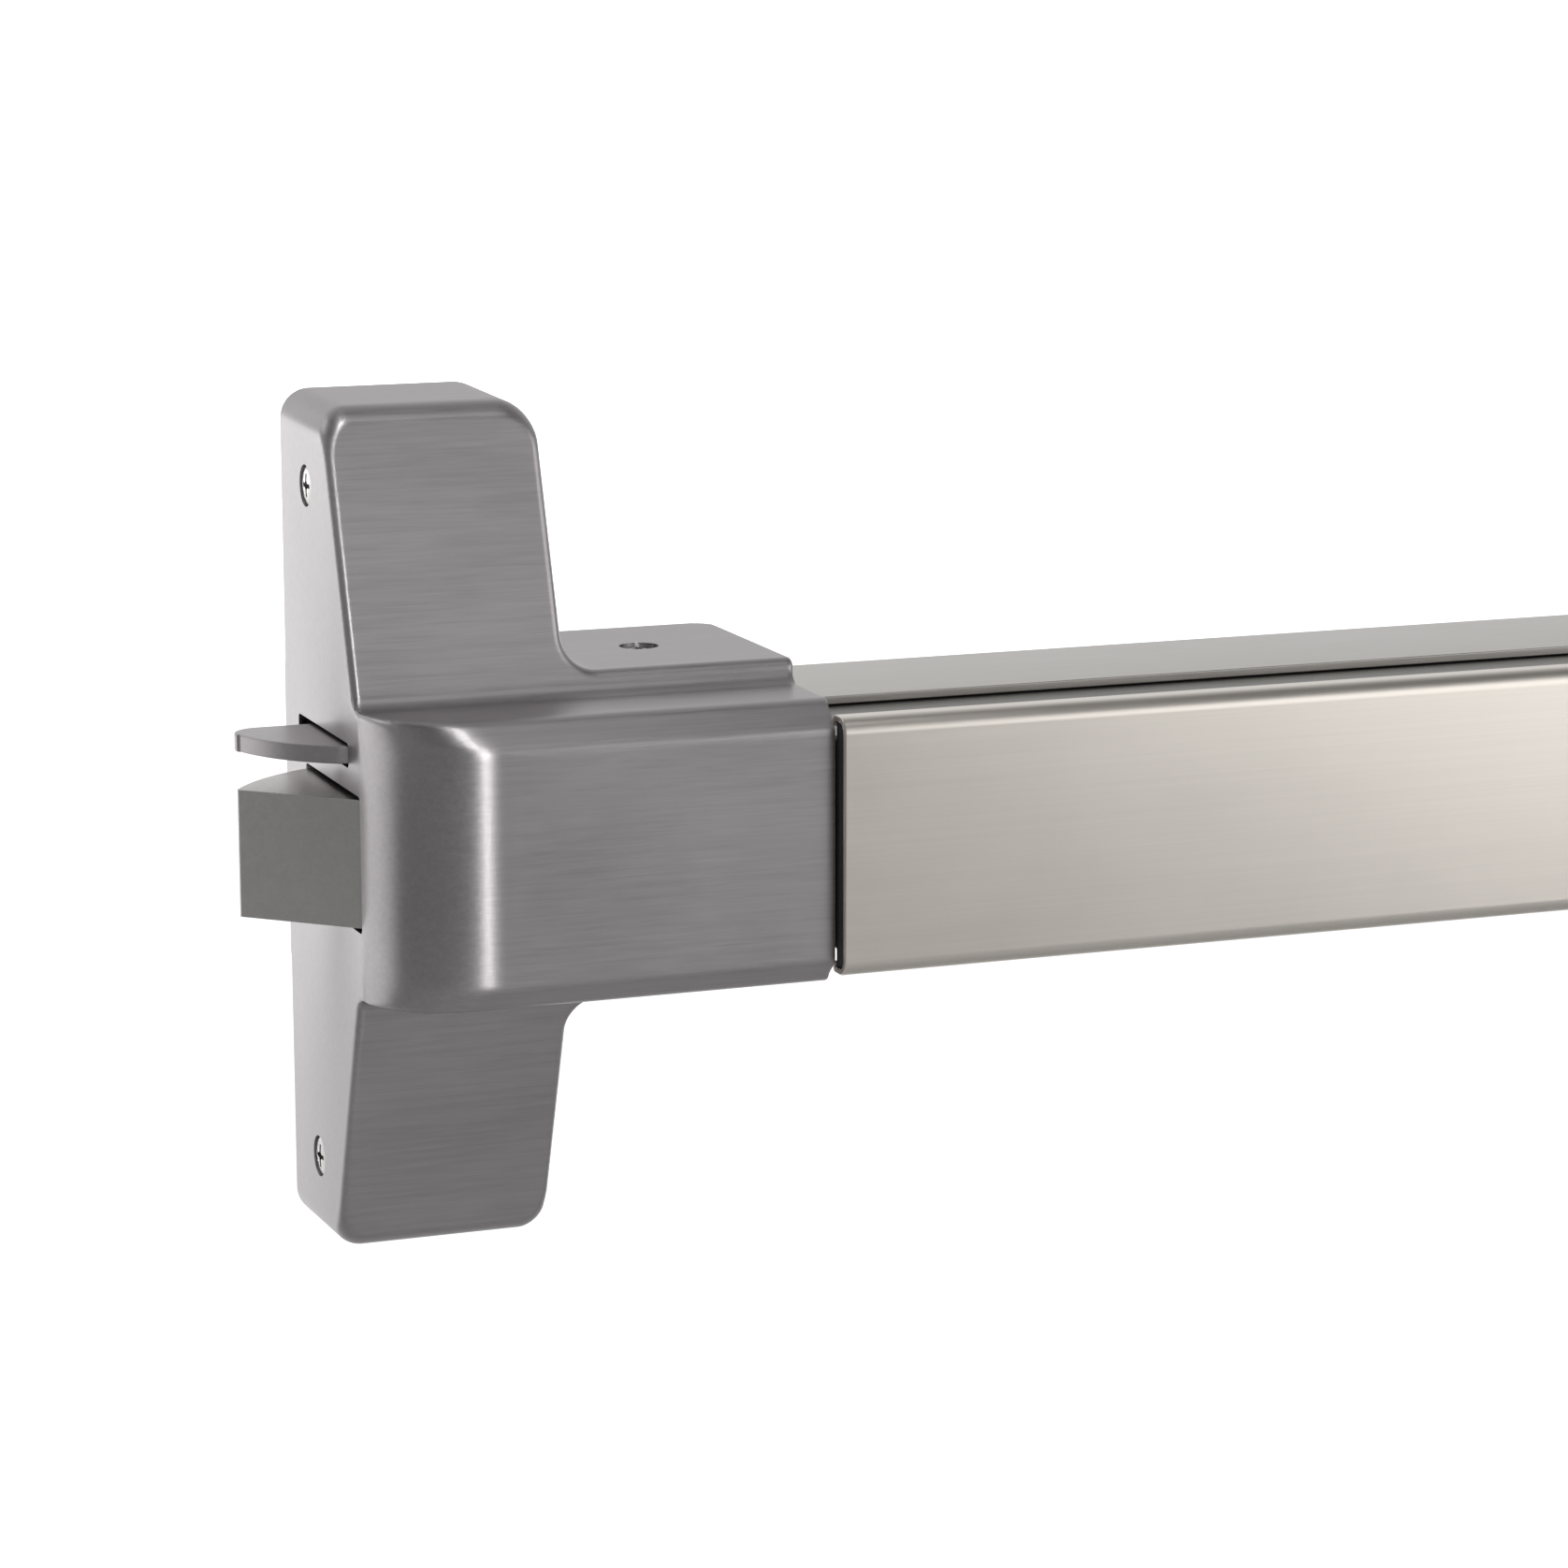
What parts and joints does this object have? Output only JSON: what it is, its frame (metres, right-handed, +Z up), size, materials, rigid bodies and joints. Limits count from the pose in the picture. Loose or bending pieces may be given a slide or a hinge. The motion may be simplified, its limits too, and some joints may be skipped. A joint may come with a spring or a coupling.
{
  "type": "panic exit bar",
  "caption": "Rim latch head with a swinging bolt and deadlatch trigger, and a sprung horizontal push bar on a base rail with an end cap.",
  "frame": {"origin": "on the door face of the head's chassis plate, on the centre lines of the head's arms and of the bar", "axes": "+X along the bar away from the latch, +Y into the door, +Z up; the user stands at -Y"},
  "size_m": [0.8623, 0.0932, 0.2],
  "materials": {
    "head_cover": "satin brushed, dull stainless look",
    "head_chassis": "zinc plated steel",
    "cover_screw_side_upper": "plain steel",
    "cover_screw_side_lower": "plain steel",
    "cover_screw_top": "plain steel",
    "cover_screw_bottom": "plain steel",
    "latch_bolt": "satin stainless, fine grain along the bar",
    "latch_pin": "plain steel",
    "deadlatch_lever": "satin brushed, dull stainless look",
    "deadlatch_spring": "oiled spring wire",
    "latch_spring": "oiled spring wire",
    "base_rail": "satin stainless, fine grain along the bar",
    "rail_screw_upper": "zinc plated steel",
    "rail_screw_lower": "zinc plated steel",
    "push_bar": "satin stainless, fine grain along the bar",
    "push_bar_carrier": "mill finish extrusion",
    "push_bar_end_left": "black moulded rubber",
    "push_bar_end_right": "black moulded rubber",
    "pull_rod": "zinc plated steel",
    "bell_crank_left": "zinc plated steel",
    "crank_bracket_left": "zinc plated steel",
    "crank_pin_left": "plain steel",
    "carrier_bracket_left": "zinc plated steel",
    "return_spring_left": "oiled spring wire",
    "spring_post_left": "zinc plated steel",
    "stop_bumper_left": "black moulded rubber",
    "bell_crank_right": "zinc plated steel",
    "crank_bracket_right": "zinc plated steel",
    "crank_pin_right": "plain steel",
    "carrier_bracket_right": "zinc plated steel",
    "return_spring_right": "oiled spring wire",
    "spring_post_right": "zinc plated steel",
    "stop_bumper_right": "black moulded rubber",
    "rail_cover": "satin stainless, fine grain along the bar",
    "end_cap": "satin brushed, dull stainless look",
    "end_bracket": "zinc plated steel",
    "end_cap_screw_top": "plain steel",
    "end_cap_screw_bottom": "plain steel",
    "end_rail_screw_upper": "zinc plated steel",
    "end_rail_screw_lower": "zinc plated steel"
  },
  "bodies": {
    "frame": {"head_cover": "head_cover", "head_chassis": "head_chassis", "cover_screw_side_upper": "cover_screw_side_upper", "cover_screw_side_lower": "cover_screw_side_lower", "cover_screw_top": "cover_screw_top", "cover_screw_bottom": "cover_screw_bottom", "latch_pin": "latch_pin", "deadlatch_spring": "deadlatch_spring", "latch_spring": "latch_spring", "base_rail": "base_rail", "rail_screw_upper": "rail_screw_upper", "rail_screw_lower": "rail_screw_lower", "crank_bracket_left": "crank_bracket_left", "crank_pin_left": "crank_pin_left", "return_spring_left": "return_spring_left", "spring_post_left": "spring_post_left", "stop_bumper_left": "stop_bumper_left", "crank_bracket_right": "crank_bracket_right", "crank_pin_right": "crank_pin_right", "return_spring_right": "return_spring_right", "spring_post_right": "spring_post_right", "stop_bumper_right": "stop_bumper_right", "rail_cover": "rail_cover", "end_cap": "end_cap", "end_bracket": "end_bracket", "end_cap_screw_top": "end_cap_screw_top", "end_cap_screw_bottom": "end_cap_screw_bottom", "end_rail_screw_upper": "end_rail_screw_upper", "end_rail_screw_lower": "end_rail_screw_lower"},
    "push_bar": {"push_bar": "push_bar", "push_bar_carrier": "push_bar_carrier", "push_bar_end_left": "push_bar_end_left", "push_bar_end_right": "push_bar_end_right", "carrier_bracket_left": "carrier_bracket_left", "carrier_bracket_right": "carrier_bracket_right"},
    "crank_left": {"bell_crank_left": "bell_crank_left"},
    "crank_right": {"bell_crank_right": "bell_crank_right"},
    "pull_rod": {"pull_rod": "pull_rod"},
    "latch": {"latch_bolt": "latch_bolt"},
    "deadlatch": {"deadlatch_lever": "deadlatch_lever"}
  },
  "joints": [
    {"name": "push_bar_slide", "type": "slide", "parent": "frame", "child": "push_bar", "axis": [0, 1, 0], "range_m": [0, 0.0145], "stiffness_N_per_m": 1400, "springref_m": -0.02, "deforming": ["return_spring_left", "return_spring_right"]},
    {"name": "crank_left_pivot", "type": "hinge", "parent": "frame", "child": "crank_left", "pos_m": [0.15, -0.0244, 0], "axis": [0, 0, 1], "range_deg": [0, 40]},
    {"name": "crank_right_pivot", "type": "hinge", "parent": "frame", "child": "crank_right", "pos_m": [0.51, -0.0244, 0], "axis": [0, 0, 1], "range_deg": [0, 40]},
    {"name": "pull_rod_slide", "type": "slide", "parent": "frame", "child": "pull_rod", "axis": [1, 0, 0], "range_m": [0, 0.0145]},
    {"name": "latch_pivot", "type": "hinge", "parent": "frame", "child": "latch", "pos_m": [-0.0065, -0.063, 0], "axis": [0, 0, -1], "range_deg": [0, 36.4]},
    {"name": "deadlatch_pivot", "type": "hinge", "parent": "frame", "child": "deadlatch", "pos_m": [-0.0065, -0.063, 0], "axis": [0, 0, -1], "range_deg": [0, 27], "stiffness_Nm_per_rad": 0.06, "springref_deg": -20.05}
  ],
  "couplings": [
    {"joint": "crank_left_pivot", "follows": "push_bar_slide", "rad_per_m": 48.1},
    {"joint": "crank_right_pivot", "follows": "push_bar_slide", "rad_per_m": 48.1},
    {"joint": "pull_rod_slide", "follows": "push_bar_slide", "ratio": 1},
    {"joint": "latch_pivot", "follows": "push_bar_slide", "rad_per_m": 43.8}
  ]
}
